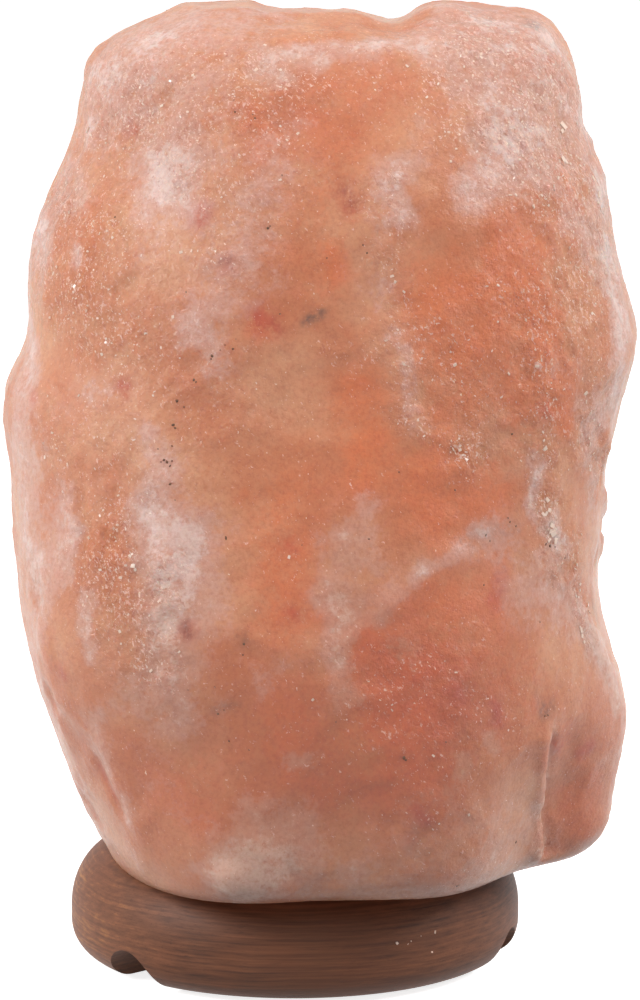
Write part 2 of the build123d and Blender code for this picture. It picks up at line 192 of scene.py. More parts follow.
def remeshed(node, size):
    """A copy of a CAD node's mesh with small even faces."""
    source = bpy.data.objects.new("even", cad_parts[node].data.copy())
    remesh = source.modifiers.new("remesh", "REMESH")
    remesh.mode = "VOXEL"
    remesh.voxel_size = size
    return finished_mesh(source)


# ------------------------ what the photograph shows on the block
# Each mark runs from one pixel to another, or stays near one. Then come its reach to each side in mm and its
# strength. The marks lie on the block's own surface and stay there, whatever the view.

# Whitish, cloudy salt, with painted light among it: pale bands along the left and right rims for light coming
# through the thin edges, and small white spots for crystals that flash
milky_and_painted_light_marks = (
    (165, 165, 180, 158, 9, 1.0), (150, 182, 168, 182, 7, 0.8), (187, 190, 192, 205, 6, 0.8),
    (150, 210, 150, 235, 12, 0.45), (95, 75, 150, 42, 14, 0.5), (150, 42, 210, 25, 9, 0.3),
    (88, 128, 92, 138, 4, 1.0), (268, 55, 330, 52, 6, 0.75), (330, 52, 418, 47, 7, 0.75),
    (268, 72, 280, 78, 6, 0.9), (290, 135, 280, 160, 10, 0.3), (262, 185, 240, 250, 14, 0.35),
    (235, 275, 205, 330, 16, 0.4), (455, 30, 520, 25, 14, 0.6), (545, 40, 585, 120, 14, 0.75),
    (505, 150, 485, 185, 13, 0.75), (480, 95, 520, 130, 16, 0.5), (415, 130, 412, 160, 5, 0.5),
    (390, 165, 396, 205, 7, 0.8), (598, 180, 602, 212, 6, 1.0), (568, 225, 578, 235, 8, 0.6),
    (606, 250, 624, 330, 11, 0.95), (622, 330, 612, 400, 8, 0.85), (590, 120, 600, 160, 7, 0.6),
    (384, 225, 372, 300, 9, 0.35), (400, 340, 412, 425, 5, 0.55), (560, 370, 600, 420, 9, 0.4),
    (590, 430, 596, 580, 8, 0.5), (535, 470, 529, 505, 4, 0.8), (546, 518, 556, 545, 5, 1.0),
    (477, 525, 482, 527, 4, 0.7), (372, 505, 345, 545, 9, 0.5), (345, 545, 332, 590, 8, 0.5),
    (332, 590, 340, 632, 7, 0.5), (365, 560, 352, 610, 8, 0.45), (335, 660, 345, 700, 9, 0.6),
    (385, 607, 413, 568, 5, 0.65), (413, 568, 459, 553, 4, 0.5), (459, 553, 509, 534, 7, 0.4),
    (520, 585, 570, 610, 15, 0.55), (555, 560, 585, 640, 9, 0.3), (549, 522, 556, 542, 3.5, 1.0),
    (580, 608, 603, 662, 5, 0.9), (600, 655, 618, 695, 10, 0.8), (404, 640, 412, 650, 6, 0.5),
    (548, 742, 544, 800, 4, 0.8), (540, 800, 540, 850, 6, 0.7), (410, 830, 530, 850, 17, 0.45),
    (350, 880, 480, 880, 12, 0.45), (470, 800, 520, 815, 10, 0.35), (490, 738, 490, 745, 4, 0.75),
    (460, 765, 460, 775, 4, 0.75), (303, 762, 310, 762, 4, 0.6), (271, 680, 280, 676, 8, 0.45),
    (181, 722, 190, 728, 5, 0.5), (160, 660, 172, 690, 9, 0.7), (94, 712, 106, 765, 5, 0.65),
    (106, 765, 133, 820, 4, 0.85), (135, 855, 140, 868, 4, 0.5), (180, 866, 190, 868, 4, 0.6),
    (228, 870, 232, 885, 6, 1.0), (245, 885, 260, 880, 7, 0.8), (262, 845, 290, 870, 15, 0.6),
    (285, 820, 290, 840, 12, 0.4), (18, 390, 26, 545, 8, 0.6), (34, 335, 28, 385, 7, 0.8),
    (32, 560, 44, 640, 6, 0.5), (62, 505, 68, 575, 6, 0.7), (42, 560, 50, 600, 7, 0.4),
    (150, 425, 158, 470, 6, 0.6), (158, 515, 190, 540, 11, 0.8), (165, 560, 190, 610, 11, 0.7),
    (165, 585, 172, 625, 8, 0.9), (93, 383, 95, 392, 8, 0.5), (86, 605, 88, 620, 5, 0.7),
    (86, 638, 88, 650, 5, 0.7), (52, 180, 42, 260, 10, 0.7), (70, 170, 80, 200, 8, 0.4),
    (75, 250, 76, 262, 5, 0.7), (196, 335, 214, 345, 7, 0.6), (122, 700, 140, 710, 9, 0.5),
    (300, 20, 250, 25, 8, 0.25), (120, 60, 210, 40, 22, 0.45), (110, 110, 170, 130, 20, 0.35),
    (480, 60, 560, 100, 26, 0.5), (540, 130, 590, 200, 20, 0.35), (605, 200, 626, 400, 13, 0.6),
    (620, 400, 605, 560, 9, 0.5), (60, 200, 30, 330, 14, 0.5), (24, 380, 30, 560, 12, 0.35),
    (440, 6, 560, 28, 9, 0.55), (160, 20, 262, 8, 9, 0.5), (87, 603, 91, 652, 3, 0.9),
    (142, 500, 154, 528, 3, 0.7), (68, 500, 73, 547, 3, 0.5), (36, 580, 60, 740, 11, 0.4),
    (150, 770, 190, 835, 16, 0.25), (185, 530, 190, 690, 18, 0.3), (40, 420, 45, 560, 14, 0.4),
    (100, 80, 200, 120, 24, 0.25), (232, 866, 250, 880, 5, 0.8), (240, 862, 234, 898, 7, 1.0),
    (222, 870, 238, 868, 6, 1.0), (250, 888, 285, 862, 7, 0.6),
)

# Salt with more iron in it, which is orange
iron_marks = (
    (300, 130, 305, 300, 13, 0.4), (297, 38, 330, 38, 7, 0.5), (345, 75, 400, 80, 10, 0.35),
    (345, 110, 350, 180, 14, 0.35), (335, 255, 333, 275, 4, 0.9), (250, 115, 262, 150, 7, 0.55),
    (515, 250, 505, 285, 17, 1.0), (428, 305, 460, 330, 15, 0.9), (540, 320, 548, 345, 9, 0.8),
    (562, 170, 570, 215, 7, 0.8), (413, 16, 420, 18, 5, 0.9), (430, 90, 450, 110, 12, 0.3),
    (475, 345, 520, 400, 15, 0.7), (552, 365, 565, 420, 8, 0.9), (430, 350, 440, 420, 10, 0.5),
    (363, 395, 370, 480, 10, 0.75), (440, 480, 495, 500, 12, 0.8), (430, 505, 450, 540, 10, 0.75),
    (504, 560, 498, 605, 8, 0.8), (407, 600, 470, 590, 12, 0.7), (374, 645, 360, 690, 12, 0.8),
    (390, 660, 400, 720, 14, 0.8), (412, 700, 430, 800, 18, 0.7), (470, 650, 520, 700, 18, 0.5),
    (566, 730, 566, 745, 6, 0.9), (585, 760, 580, 830, 12, 0.6), (98, 460, 120, 490, 9, 0.35),
    (108, 530, 125, 575, 9, 0.4), (280, 500, 285, 600, 14, 0.6), (300, 560, 300, 620, 12, 0.6),
    (195, 815, 180, 800, 11, 0.65), (287, 690, 300, 740, 12, 0.6), (298, 775, 305, 785, 7, 0.5),
    (97, 765, 120, 805, 3, 0.4), (140, 740, 220, 760, 20, 0.3), (330, 800, 390, 810, 14, 0.45),
    (200, 300, 140, 320, 14, 0.25), (90, 210, 100, 240, 9, 0.4), (200, 600, 210, 640, 8, 0.2),
    (260, 320, 258, 326, 5, 0.7), (45, 640, 52, 680, 7, 0.5),
)

# Painted shade: darker patches, most of them low on the block, where less light comes out
deep_marks = (
    (400, 655, 465, 695, 17, 0.75), (345, 745, 425, 790, 17, 0.6), (435, 735, 500, 790, 14, 0.4),
    (340, 520, 345, 590, 12, 0.35), (170, 640, 330, 700, 10, 0.15), (585, 790, 590, 830, 9, 0.2),
    (560, 560, 590, 600, 6, 0.2), (230, 820, 330, 800, 12, 0.25), (250, 110, 400, 120, 22, 0.3),
    (470, 860, 540, 850, 9, 0.2),
)

# Small red stains
red_marks = (
    (200, 212, 200, 220, 3.0, 0.9), (258, 314, 260, 324, 3.5, 0.8), (122, 385, 126, 388, 3.0, 0.9),
    (128, 132, 136, 130, 3.0, 0.5), (184, 628, 190, 633, 2.5, 0.9), (497, 708, 498, 718, 3.0, 0.8),
    (418, 812, 424, 820, 2.5, 0.8), (584, 752, 590, 748, 3.0, 0.7), (61, 672, 64, 676, 3.0, 0.6),
    (98, 768, 116, 798, 2.0, 0.5), (456, 690, 458, 695, 3.0, 0.6), (275, 322, 278, 332, 2.5, 0.6),
    (560, 745, 562, 750, 3.0, 0.5), (32, 393, 34, 398, 2.0, 0.6), (500, 578, 494, 600, 3.5, 0.6),
    (343, 190, 351, 206, 3.5, 0.6), (224, 262, 226, 266, 2.5, 0.6), (288, 546, 292, 548, 3.0, 0.5),
    (290, 612, 296, 616, 2.5, 0.6), (410, 838, 412, 842, 2.0, 0.4), (545, 410, 548, 414, 3.0, 0.5),
)

# Broken, sugary places that glitter
glint_marks = (
    (90, 60, 130, 140, 12, 0.8), (60, 200, 110, 240, 14, 0.85), (60, 290, 90, 310, 12, 0.7),
    (120, 90, 240, 120, 16, 0.55), (40, 260, 110, 330, 16, 0.5), (170, 90, 260, 180, 22, 0.45),
    (100, 330, 230, 400, 20, 0.35), (170, 160, 180, 170, 10, 0.8), (255, 60, 290, 90, 12, 0.5),
    (330, 60, 480, 120, 22, 0.45), (480, 40, 560, 90, 22, 0.9), (500, 130, 580, 170, 20, 1.0),
    (555, 180, 600, 260, 18, 1.0), (570, 280, 600, 400, 14, 0.6), (385, 190, 405, 420, 6, 0.6),
    (440, 340, 480, 420, 12, 0.6), (520, 300, 560, 340, 14, 0.7), (535, 350, 545, 470, 7, 0.8),
    (460, 450, 470, 460, 6, 1.0), (422, 432, 445, 450, 3, 0.8), (585, 430, 600, 470, 8, 0.8),
    (545, 500, 560, 560, 8, 0.9), (575, 550, 585, 640, 5, 0.8), (100, 440, 130, 490, 14, 0.5),
    (45, 420, 70, 480, 8, 0.6), (110, 535, 130, 590, 12, 0.9), (80, 570, 110, 610, 10, 0.6),
    (165, 570, 170, 620, 7, 0.8), (130, 600, 150, 660, 10, 0.5), (210, 230, 230, 270, 8, 0.5),
    (345, 350, 380, 345, 8, 0.25), (120, 660, 160, 670, 8, 0.4), (540, 810, 545, 850, 6, 0.5),
    (330, 660, 440, 720, 20, 0.3), (430, 820, 480, 850, 16, 0.3), (390, 700, 520, 720, 16, 0.2),
)

# Ridges and grooves, whose last value is how far the skin is pushed out in mm
relief_marks = (
    (97, 765, 122, 810, 3.0, -0.8), (106, 748, 136, 820, 4.5, 0.8), (552, 745, 549, 855, 3.0, -2.4),
    (568, 745, 562, 845, 8.0, -1.6), (544, 738, 540, 855, 3.5, 1.6), (583, 612, 606, 668, 4.0, 1.4),
    (601, 476, 600, 480, 3.5, -1.8), (604, 496, 605, 510, 3.6, 1.2), (602, 526, 601, 528, 3.0, -2.0),
    (604, 538, 604, 550, 3.6, 1.2), (597, 562, 596, 566, 4.0, -1.8), (606, 430, 606, 452, 4.0, 0.9),
    (590, 460, 596, 462, 3.0, -0.8), (424, 474, 472, 469, 3.5, 0.6), (470, 478, 425, 486, 5.0, -0.4),
    (72, 500, 74, 560, 3.5, 1.0), (80, 505, 80, 560, 4.5, -1.2), (140, 420, 160, 480, 5.0, 0.9),
    (345, 520, 385, 600, 8.0, 0.7), (385, 607, 459, 553, 4.0, 0.6), (150, 600, 175, 520, 7.0, 0.8),
    (220, 875, 250, 890, 6.0, 0.8), (403, 340, 412, 425, 4.0, 0.7), (540, 350, 545, 460, 5.0, 0.8),
    (355, 300, 330, 420, 14.0, -0.8), (230, 380, 300, 520, 26.0, -0.8), (575, 100, 590, 140, 5.0, -0.8),
    (270, 14, 276, 14, 3.0, -1.0), (375, 12, 380, 12, 4.0, -1.2), (408, 14, 412, 14, 3.0, -1.0),
    (88, 128, 92, 140, 3.0, 0.8), (36, 592, 38, 600, 4.0, -1.2), (44, 640, 46, 652, 5.0, 0.9),
    (50, 694, 52, 700, 4.0, -1.2), (62, 728, 66, 738, 5.0, 0.8), (86, 800, 90, 806, 4.0, -0.8),
    (30, 470, 30, 480, 5.0, -0.6), (228, 876, 232, 886, 4.0, 1.2), (286, 872, 290, 876, 4.0, -0.8),
    (330, 893, 336, 893, 4.0, 1.0), (400, 896, 404, 896, 4.0, -1.0), (500, 878, 508, 876, 4.0, 0.9),
    (596, 165, 600, 175, 4.0, 1.0), (30, 375, 32, 385, 4.0, -0.8),
)

# Dips in the crown, which its back edge shows too: the pixel across, the reach in mm and the depth in mm.
# They share one row of pixels.
crown_row = 14
crown_dips = ((272, 7, 1.6), (318, 9, 2.2), (378, 8, 3.2), (402, 6, 2.6), (500, 9, 1.3))

# Dark grains of other minerals: pixel and size in mm
speck_marks = (
    (233, 349, 0.8), (212, 356, 1.2), (211, 359, 0.8), (194, 380, 1.0), (196, 382, 0.7), (177, 401, 1.2),
    (184, 407, 0.7), (173, 425, 1.2), (175, 428, 0.9), (172, 446, 0.7), (158, 449, 0.6), (164, 460, 0.9),
    (167, 462, 1.1), (170, 466, 1.0), (172, 461, 0.7), (161, 462, 0.6), (170, 484, 1.1), (175, 500, 0.5),
    (226, 538, 1.3), (235, 112, 0.8), (234, 100, 0.5), (253, 115, 0.9), (255, 118, 0.8), (282, 175, 0.7),
    (268, 228, 1.1), (270, 226, 0.7), (186, 292, 0.6), (115, 217, 0.7), (399, 472, 0.7), (369, 539, 0.9),
    (455, 490, 0.9), (486, 535, 1.0), (490, 541, 0.7), (510, 522, 0.9), (516, 526, 0.8), (508, 518, 0.7),
    (546, 544, 1.1), (550, 546, 1.2), (555, 547, 1.0), (565, 558, 0.8), (540, 622, 0.7), (484, 585, 0.7),
    (404, 758, 1.3), (406, 760, 0.8), (446, 742, 0.6), (516, 842, 1.1), (457, 886, 0.9), (459, 885, 0.7),
    (482, 143, 0.7), (522, 161, 0.7), (554, 190, 0.7), (363, 245, 0.7), (367, 253, 0.7), (327, 258, 0.6),
    (512, 434, 1.0), (218, 714, 0.8), (224, 710, 0.6), (229, 741, 0.8), (249, 750, 0.7), (244, 644, 0.8),
    (243, 655, 0.7), (336, 722, 0.7), (280, 314, 0.8), (236, 339, 0.5), (225, 345, 0.5), (220, 350, 0.6),
    (571, 702, 0.6), (548, 715, 0.9), (545, 716, 0.7), (215, 687, 0.6), (188, 690, 0.5), (302, 545, 0.6),
)

# Brown smears of the same
smear_marks = (
    (307, 321, 322, 313, 1.7, 1.0), (345, 190, 352, 204, 1.8, 0.3), (530, 18, 536, 26, 2.6, 0.6),
    (221, 262, 228, 260, 1.6, 0.35), (402, 755, 408, 758, 1.0, 0.6), (543, 712, 552, 706, 2.6, 0.5),
    (183, 626, 190, 633, 1.6, 0.6), (242, 634, 244, 644, 1.5, 0.45), (216, 712, 232, 706, 1.6, 0.4),
    (592, 604, 596, 616, 3.0, 0.35), (455, 540, 515, 528, 3.0, 0.2), (536, 690, 546, 712, 2.0, 0.25),
)

# Crumbs of salt that fell on the base: pixel and size in mm
crumb_marks = (
    (435, 932, 0.9), (397, 943, 0.8), (432, 952, 0.7), (421, 936, 0.5), (408, 944, 0.5), (411, 941, 0.4),
)

# Cleaved crystals that flash white: pixel and size in mm
flash_marks = (
    (563, 126, 2.4), (562, 131, 1.6), (563, 159, 2.2), (566, 162, 1.5), (560, 162, 1.2), (593, 178, 1.5),
    (599, 195, 2.2), (602, 212, 1.6), (598, 203, 1.4), (88, 130, 2.0), (91, 135, 1.4), (551, 532, 2.2),
    (549, 540, 1.5), (556, 540, 1.5), (550, 525, 1.2), (546, 514, 1.5), (545, 449, 1.3), (550, 461, 0.9),
    (537, 366, 1.4), (586, 393, 1.3), (455, 365, 1.2), (460, 450, 1.0), (467, 460, 1.1), (463, 455, 0.8),
    (392, 276, 1.2), (395, 282, 0.8), (256, 70, 1.2), (265, 45, 0.9), (133, 566, 1.4), (130, 556, 0.9),
    (45, 457, 1.2), (134, 440, 1.0), (135, 419, 0.8), (481, 57, 1.1), (407, 66, 1.0), (438, 84, 0.9),
    (151, 671, 1.2), (159, 601, 1.1), (289, 557, 1.0), (580, 628, 1.2), (576, 596, 1.0), (575, 569, 1.0),
    (162, 588, 1.0), (107, 231, 0.9), (85, 213, 0.8), (181, 252, 1.0), (287, 140, 0.8), (590, 444, 1.1),
    (173, 317, 0.9), (558, 178, 1.0), (541, 134, 0.9), (525, 105, 0.9), (500, 25, 0.9), (512, 32, 0.9),
    (580, 584, 1.1), (578, 597, 1.2), (588, 605, 1.3), (589, 612, 1.0), (581, 630, 1.4), (582, 636, 1.1),
    (584, 642, 0.9), (547, 500, 1.5), (549, 510, 1.3), (543, 514, 1.2), (552, 526, 1.9), (553, 534, 2.0),
    (555, 541, 1.6), (549, 530, 1.5), (546, 448, 1.4), (537, 452, 0.8), (543, 432, 0.9), (586, 402, 1.2),
    (590, 414, 1.0), (594, 432, 0.9), (590, 470, 1.0), (453, 449, 1.0), (466, 452, 0.9), (440, 445, 0.7),
    (424, 436, 0.8), (418, 420, 0.9), (573, 555, 0.9), (577, 565, 1.0),
)


# ------------------------ rough salt block
# Faces small enough for the broken skin, and few enough for the export to keep them all
face_size = 1.6 * MM
# Reaches were judged and come out a little wide
mark_spread = 0.85
# The drilled hole, which stays smooth
hole_radius = 38 * MM
hole_height = 112 * MM
# Above its seat the skin gets rough over this height
seat_gap, seat_fade = 0.2 * MM, 5 * MM
# Marks that are scattered: how far the skin turns away, their lengths in mm, and their lean
side_turn = 0.1
scattered_lengths = (2, 22)
upright = (0.5, 0.5, 1.0)
crown_depth = 12 * MM

block_mesh = remeshed("salt_crystal", face_size)
points = vectors(block_mesh.vertices, "co")
normals = vectors(block_mesh.vertices, "normal")


def surface(mesh):
    """A mesh's faces as a tree that finds the nearest one, or the one that a ray meets."""
    corners = [vertex.co.copy() for vertex in mesh.vertices]
    return BVHTree.FromPolygons(corners, [tuple(polygon.vertices) for polygon in mesh.polygons])


skin = surface(block_mesh)


def hit(px, py, tree):
    """The point of a surface that the photograph shows at a pixel."""
    ray = line_of_sight(px, py)
    place = tree.ray_cast(camera.location, ray)[0]
    if place is None:
        place = tree.find_nearest(camera.location + ray * camera_distance)[0]
    return np.array(place)


def near_line(spots, start, end, reach):
    """1 on a line, a third at its reach and nearly nothing at twice that."""
    span = end - start
    along = np.clip((spots - start) @ span / max(span @ span, 1e-12), 0, 1)
    away = np.linalg.norm(spots - start - along[:, None] * span, axis=1)
    return np.exp(-((away / reach) ** 2))


def joined(total, more):
    """Two strengths from 0 to 1 laid over each other."""
    return 1 - (1 - total) * (1 - more)


def marked(spots, marks):
    """How strongly each point lies in the marks, from 0 to 1."""
    total = np.zeros(len(spots))
    for x0, y0, x1, y1, reach, strength in marks:
        mark = near_line(spots, hit(x0, y0, skin), hit(x1, y1, skin), reach * MM * mark_spread)
        total = joined(total, strength * mark)
    return total


def unseen(turned):
    """The points of bare skin that face away from the camera by more than turned says."""
    return np.flatnonzero((normals[:, 1] > turned) & (bare > 0.9))


def scattered(spots, count, reach, strength, seed):
    """Marks like the photograph's, mostly upright, on the sides and the back, which it doesn't show."""
    rng = np.random.default_rng(seed)
    total = np.zeros(len(spots))
    for index in rng.choice(unseen(side_turn), count):
        length = rng.uniform(*scattered_lengths) * MM
        lean = Vector(rng.normal(size=3) * upright).normalized() * length
        wide = rng.uniform(*reach) * MM
        power = rng.uniform(*strength)
        end = points[index] + np.array(lean)
        total = joined(total, power * near_line(spots, points[index], end, wide * mark_spread))
    return total


from_axis = np.hypot(points[:, 0] - axis_x, points[:, 1] - axis_y)
in_hole = (from_axis < hole_radius) & (points[:, 2] < seat_z + hole_height)
bare = np.where(in_hole, 0, smooth(seat_gap, seat_fade, points[:, 2] - seat_z))

# What the material reads at each point. Clouds have ragged edges, stains and smears finer ones.
ragged = shaken(points, 3.0 * MM, 11 * MM, (31, 41, 51), 4)
stained = shaken(points, 0.9 * MM, 4 * MM, (61, 71, 81), 2)
# Painted shade: the block gets darker towards its foot
foot = smooth(170 * MM, 50 * MM, points[:, 2])
elsewhere = {
    "milky_and_painted_light": scattered(ragged, 70, reach=(5, 14), strength=(0.3, 0.9), seed=7),
    "iron": scattered(ragged, 45, reach=(7, 16), strength=(0.3, 0.9), seed=8),
    "deep": 0.4 * foot,
    "glint": scattered(ragged, 50, reach=(8, 20), strength=(0.4, 1.0), seed=9),
    "red": scattered(stained, 26, reach=(2, 4), strength=(0.5, 0.9), seed=10),
}
looks = {
    "milky_and_painted_light": marked(ragged, milky_and_painted_light_marks),
    "iron": marked(ragged, iron_marks),
    "deep": marked(ragged, deep_marks),
    "glint": marked(ragged, glint_marks),
    "red": marked(stained, red_marks),
    "smear": marked(stained, smear_marks),
}
for name, strength in elsewhere.items():
    looks[name] = joined(looks[name], strength)
glint = looks["glint"]

# How far the skin is pushed out or in, in mm: large, middling and small dents, deeper where the salt is
# sugary, then soft lumps, grit and the marks' own relief
warped = shaken(points, 4 * MM, 22 * MM, (3, 4, 5))
even = 0.6
large = scallops(warped, 34 * MM, 1) - even
middle = scallops(warped, 13 * MM, 2) - even
small = scallops(warped, 6 * MM, 6) - even
lumps = noise(points, 34 * MM, 11, 2)
grit = noise(points, 6 * MM, 21, 2)
rough = np.clip(0.35 + 0.9 * glint, 0, 1)
relief = np.zeros(len(points))
for *line, reach, depth in relief_marks:
    relief += depth * marked(stained, ((*line, reach, 1.0),))
push = (0.3 + 0.8 * rough) * large + 0.7 * rough * middle + 0.6 * rough * small
push += 0.6 * lumps + 0.5 * rough * grit + relief
points += normals * (bare * push * MM)[:, None]

# The crown's edge is lower in places, and uneven
crown = smooth(crown_z - crown_depth, crown_z, points[:, 2])
for px, reach, drop in crown_dips:
    across = (points[:, 0] - hit(px, crown_row, skin)[0]) / (reach * MM)
    points[:, 2] -= crown * drop * MM * np.exp(-(across ** 2))
points[:, 2] -= crown * MM * np.clip(0.5 + 0.8 * noise(points, 16 * MM, 91, 3), 0, 2)

points = np.clip(points, box_low, box_high)
block_mesh.vertices.foreach_set("co", points.astype(np.float32).ravel())
block_mesh.update()
for name, values in looks.items():
    attribute = block_mesh.attributes.new(name, "FLOAT", "POINT")
    attribute.data.foreach_set("value", values.astype(np.float32))
block = piece("salt_block", block_mesh, "root", "rock_salt", "salt_crystal")


# ------------------------ grains, flakes and crumbs
# Sizes are in mm. Most flakes are of the smaller ones.
speck_count = 60
speck_sizes = (0.5, 1.3)
speck_spread = 2 * MM
flake_count = 1800
flake_least, flake_more = 0.3, 0.7
# In parts of a grain's size: how narrow and how thick it is, and how far its corners stray
round_widths, round_thickness = (0.5, 1.0), 0.18
cleaved_widths, cleaved_thickness = (0.3, 0.9), 0.16
cleaved_tilt = 0.35
stray = (0.7, 1.1)


def seen_spots(marks, tree):
    """Where marks of a pixel and a size lie on a surface, with their sizes."""
    return [(hit(px, py, tree), size * MM) for px, py, size in marks]


def grains(name, places, tree, seed, cleaved):
    """Small grains that sit half sunk in a surface, as one piece: round and flat, or cleaved and tilted."""
    rng = np.random.default_rng(seed)
    mesh = bmesh.new()
    for place, size in places:
        spot, normal, _, _ = tree.find_nearest(Vector(place))
        spin = Matrix.Rotation(rng.uniform(0, 2 * pi), 4, "Z")
        turn = normal.to_track_quat("Z", "Y").to_matrix().to_4x4() @ spin
        if cleaved:
            turn = turn @ Matrix.Rotation(rng.uniform(-cleaved_tilt, cleaved_tilt), 4, "X")
            width = size / 2 * rng.uniform(*cleaved_widths)
            shape = Matrix.Diagonal((size / 2, width, size * cleaved_thickness, 1))
            made = bmesh.ops.create_cube(mesh, size=2.0)["verts"]
        else:
            width = size / 2 * rng.uniform(*round_widths)
            shape = Matrix.Diagonal((size / 2, width, size * round_thickness, 1))
            made = bmesh.ops.create_icosphere(mesh, subdivisions=1, radius=1.0)["verts"]
        for vertex in made:
            corner = spot + turn @ shape @ (vertex.co * rng.uniform(*stray))
            vertex.co = np.clip(corner, box_low, box_high)
    data = bpy.data.meshes.new(name)
    mesh.to_mesh(data)
    mesh.free()
    return piece(name, data, "root", "rock_salt", smoothed=not cleaved)


skin = surface(block_mesh)
wood = surface(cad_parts["wood_base"].data)

rng = np.random.default_rng(12)
speck_places = seen_spots(speck_marks, skin)
for index in rng.choice(unseen(0.0), speck_count):
    speck_places.append((points[index] + rng.normal(size=3) * speck_spread, rng.uniform(*speck_sizes) * MM))
specks = grains("mineral_specks", speck_places, skin, 13, False)

# Cleaved crystals that flash, most of them where the salt is sugary
chance = np.where(bare > 0.9, glint ** 2, 0)
flake_places = seen_spots(flash_marks, skin)
for index in rng.choice(len(points), flake_count, p=chance / chance.sum()):
    flake_places.append((points[index], (flake_least + flake_more * rng.random() ** 2) * MM))
flakes = grains("salt_flakes", flake_places, skin, 14, True)
crumbs = grains("salt_crumbs", seen_spots(crumb_marks, wood), wood, 15, True)


# ------------------------ bulb: rolled screw cap
cap_low, cap_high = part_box("bulb_cap")
cap_height = cap_high.z - cap_low.z
cap_flare_radius = (cap_high.x - cap_low.x) / 2
cap_sheet = 0.4 * MM
cap_turn_points = 72
cap_levels = 110
# Heights from the cap's lower edge
thread_pitch = 2.82 * MM
thread_depth = 0.8 * MM
thread_crest = 6.9 * MM
thread_fade = 1.2 * MM
thread_end = 11.4 * MM
flare_start, flare_end = 12.2 * MM, 15.0 * MM


def ring_mesh(name, rings):
    """A mesh through rings of as many points each, one after another and round again to the first."""
    count = len(rings[0])
    corners = [tuple(corner) for ring in rings for corner in ring]
    faces = []
    for index in range(len(rings)):
        here, there = index * count, (index + 1) % len(rings) * count
        for step in range(count):
            following = (step + 1) % count
            faces.append((here + step, here + following, there + following, there + step))
    mesh = bpy.data.meshes.new(name)
    mesh.from_pydata(corners, [], faces)
    mesh.update()
    return mesh


def cap_radius(height, turn):
    """Radius of the rolled cap at a height above its lower edge and a part of a turn."""
    wave = 0.5 - 0.5 * cos(2 * pi * (height / thread_pitch - turn))
    ease = smooth(0, thread_fade, height) * (1 - smooth(thread_end, thread_end + thread_fade, height))
    flare = smooth(flare_start, flare_end, height) * (cap_flare_radius - thread_crest)
    return thread_crest - thread_depth * wave * ease + flare


def threaded_cap():
    """The cap's thin sheet with its rolled thread: up the outside and down the inside."""
    rings = []
    middle = Vector((axis_x, axis_y, cap_low.z))
    for inset, levels in ((0, range(cap_levels + 1)), (cap_sheet, range(cap_levels, -1, -1))):
        for level in levels:
            up = cap_height * level / cap_levels
            ring = []
            for point in range(cap_turn_points):
                turn = point / cap_turn_points
                reach = cap_radius(up, turn) - inset
                ring.append(middle + Vector((reach * cos(2 * pi * turn), reach * sin(2 * pi * turn), up)))
            rings.append(ring)
    mesh = ring_mesh("rolled_screw_cap", rings)
    return piece("rolled_screw_cap", mesh, "bulb", "nickel_plated_brass", "bulb_cap")


# ------------------------ bulb: coiled filament
coil_low, coil_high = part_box("filament")
coil_wire = 0.09 * MM
coil_pitch = 0.30 * MM
coil_radius = 0.30 * MM
coil_turn_points = 10


def coiled_filament():
    """The filament as a coil that arches between the ends of its lead wires, with a straight leg at each."""
    span = coil_high.x - coil_low.x - 2 * coil_wire
    arch = coil_high.z - coil_low.z - 2 * (coil_radius + coil_wire)
    count = int(span / coil_pitch) * coil_turn_points
    foot = coil_low.z + coil_wire
    path = [(coil_low.x + coil_wire, axis_y, foot)]
    for index in range(count + 1):
        part = index / count
        angle = 2 * pi * index / coil_turn_points
        middle = foot + coil_radius + arch * (1 - (2 * part - 1) ** 2)
        path.append((coil_low.x + coil_wire + span * part, axis_y + coil_radius * sin(angle),
                     middle + coil_radius * cos(angle)))
    path.append((coil_high.x - coil_wire, axis_y, foot))
    curve = bpy.data.curves.new("filament_coil", "CURVE")
    curve.dimensions = "3D"
    curve.bevel_depth = coil_wire
    curve.bevel_resolution = 1
    curve.use_fill_caps = True
    line = curve.splines.new("POLY")
    line.points.add(len(path) - 1)
    for point, spot in zip(line.points, path):
        point.co = (*spot, 1)
    mesh = finished_mesh(bpy.data.objects.new("filament_coil", curve))
    return piece("coiled_filament", mesh, "bulb", "tungsten", "filament")


rolled_cap = threaded_cap()
coil = coiled_filament()


# ------------------------ helpers for materials
COLOURS = {"data_type": "RGBA"}
TINT = {"data_type": "RGBA", "blend_type": "MULTIPLY"}
PLUS, MINUS, TIMES, SCALED = [{"operation": name} for name in ("ADD", "SUBTRACT", "MULTIPLY", "SCALE")]
TIMES_PLUS = {"operation": "MULTIPLY_ADD"}
LARGER = {"operation": "MAXIMUM"}
EASED = {"interpolation_type": "SMOOTHSTEP"}


def colour(text):
    """An sRGB hex value as a linear colour."""
    values = [int(text[i:i + 2], 16) / 255 for i in (0, 2, 4)]
    return [v / 12.92 if v <= 0.04045 else ((v + 0.055) / 1.055) ** 2.4 for v in values] + [1.0]


def per(size):
    """The scale of a pattern whose cells are about that many millimetres across."""
    return 1 / (size * MM)


def material(name):
    """A new material and its node tree, still empty."""
    made = bpy.data.materials.new(name)
    made.use_nodes = True
    made.node_tree.nodes.clear()
    return made, made.node_tree


def add(tree, kind, settings=None, **links):
    """Adds a node. Settings are its properties. Links name its inputs, i2 for the third, and give each a
    value, a socket, or a node, which stands for the first output that it uses."""
    node = tree.nodes.new("ShaderNode" + kind)
    for key, value in (settings or {}).items():
        setattr(node, key, value)
    for key, value in links.items():
        name = key.replace("_", " ")
        socket = node.inputs[int(name[1:])] if name[1:].isdigit() else node.inputs[name]
        if isinstance(value, bpy.types.Node):
            value = next(output for output in value.outputs if output.enabled)
        if isinstance(value, bpy.types.NodeSocket):
            tree.links.new(value, socket)
        else:
            socket.default_value = value
    return node


